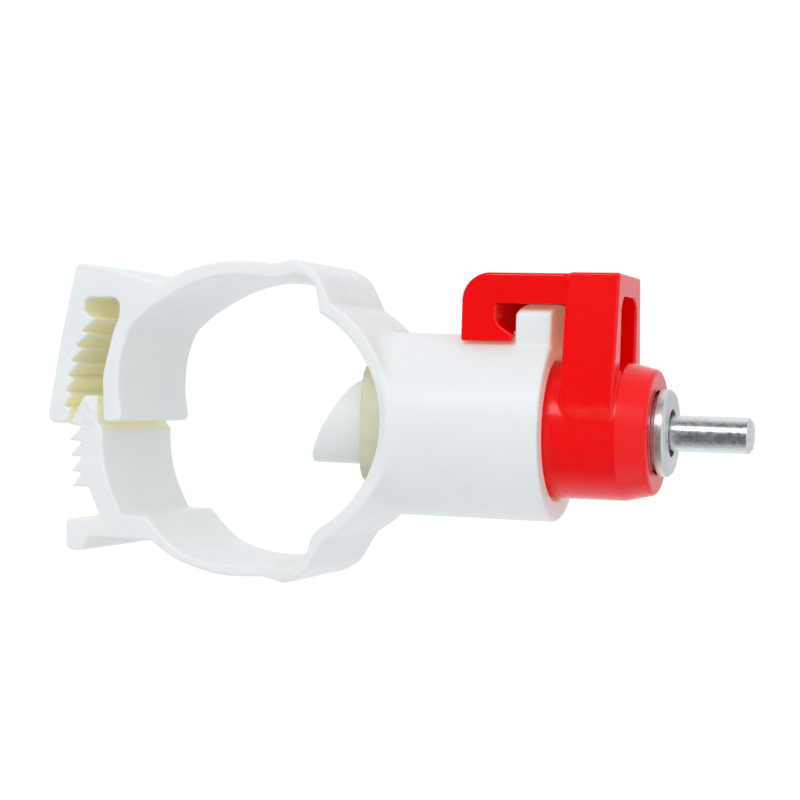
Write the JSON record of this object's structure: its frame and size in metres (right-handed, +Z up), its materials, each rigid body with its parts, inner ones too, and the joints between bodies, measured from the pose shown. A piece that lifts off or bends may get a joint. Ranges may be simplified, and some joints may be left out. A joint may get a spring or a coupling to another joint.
{
  "type": "clip-on nipple drinker",
  "caption": "Twist-lock nipple drinker on a ratchet saddle that clips round a water pipe; a steel trigger pin lets water out when it is pushed.",
  "frame": {"origin": "centre of the clamped pipe, on the pipe's axis and midway along the saddle", "axes": "+Z up in use, away from the trigger pin; +Y along the pipe; +X to the side of the lever tab and hook"},
  "size_m": [0.0331, 0.019, 0.0734],
  "materials": {
    "saddle_socket": "satin moulded polypropylene",
    "upper_jaw": "satin moulded polypropylene",
    "lower_jaw": "satin moulded polypropylene",
    "pipe_gasket": "matte soft rubber",
    "nipple_body": "glossy moulded plastic with a fine grain",
    "body_ring": "smooth nitrile rubber",
    "valve_cap": "moulded acetal",
    "upper_seat": "turned stainless steel",
    "seat_seal": "flat nitrile washer",
    "valve_casing": "turned stainless steel",
    "casing_ring": "smooth nitrile rubber",
    "valve_ball": "polished stainless steel",
    "metering_pin": "turned stainless steel",
    "trigger_pin": "turned stainless steel"
  },
  "bodies": {
    "saddle": {"saddle_socket": "saddle_socket", "pipe_gasket": "pipe_gasket"},
    "upper_jaw": {"upper_jaw": "upper_jaw"},
    "lower_jaw": {"lower_jaw": "lower_jaw"},
    "nipple": {"nipple_body": "nipple_body", "body_ring": "body_ring", "valve_cap": "valve_cap", "upper_seat": "upper_seat", "seat_seal": "seat_seal", "valve_casing": "valve_casing", "casing_ring": "casing_ring"},
    "ball": {"valve_ball": "valve_ball"},
    "metering": {"metering_pin": "metering_pin"},
    "trigger": {"trigger_pin": "trigger_pin"}
  },
  "joints": [
    {"name": "upper_jaw_hinge", "type": "hinge", "parent": "saddle", "child": "upper_jaw", "pos_m": [0.01515, 0, 0], "axis": [0, 1, 0], "range_deg": [0, 45], "stiffness_Nm_per_rad": 0.05},
    {"name": "lower_jaw_hinge", "type": "hinge", "parent": "saddle", "child": "lower_jaw", "pos_m": [-0.0154, 0, 0], "axis": [0, -1, 0], "range_deg": [0, 45], "stiffness_Nm_per_rad": 0.05},
    {"name": "nipple_twist", "type": "hinge", "parent": "saddle", "child": "nipple", "pos_m": [0, 0, -0.03], "axis": [0, 0, 1], "range_deg": [0, 80]},
    {"name": "ball_lift", "type": "slide", "parent": "nipple", "child": "ball", "axis": [0, 0, 1], "range_m": [0, 0.0008], "stiffness_N_per_m": 60},
    {"name": "metering_spin", "type": "hinge", "parent": "ball", "child": "metering", "pos_m": [0, 0, -0.0309], "axis": [0, 0, 1], "continuous": true},
    {"name": "trigger_tilt", "type": "hinge", "parent": "metering", "child": "trigger", "pos_m": [0, 0, -0.03495], "axis": [0, 1, 0], "range_deg": [0, 4.5], "stiffness_Nm_per_rad": 0.01}
  ],
  "couplings": [
    {"joint": "lower_jaw_hinge", "follows": "upper_jaw_hinge", "ratio": 1}
  ]
}
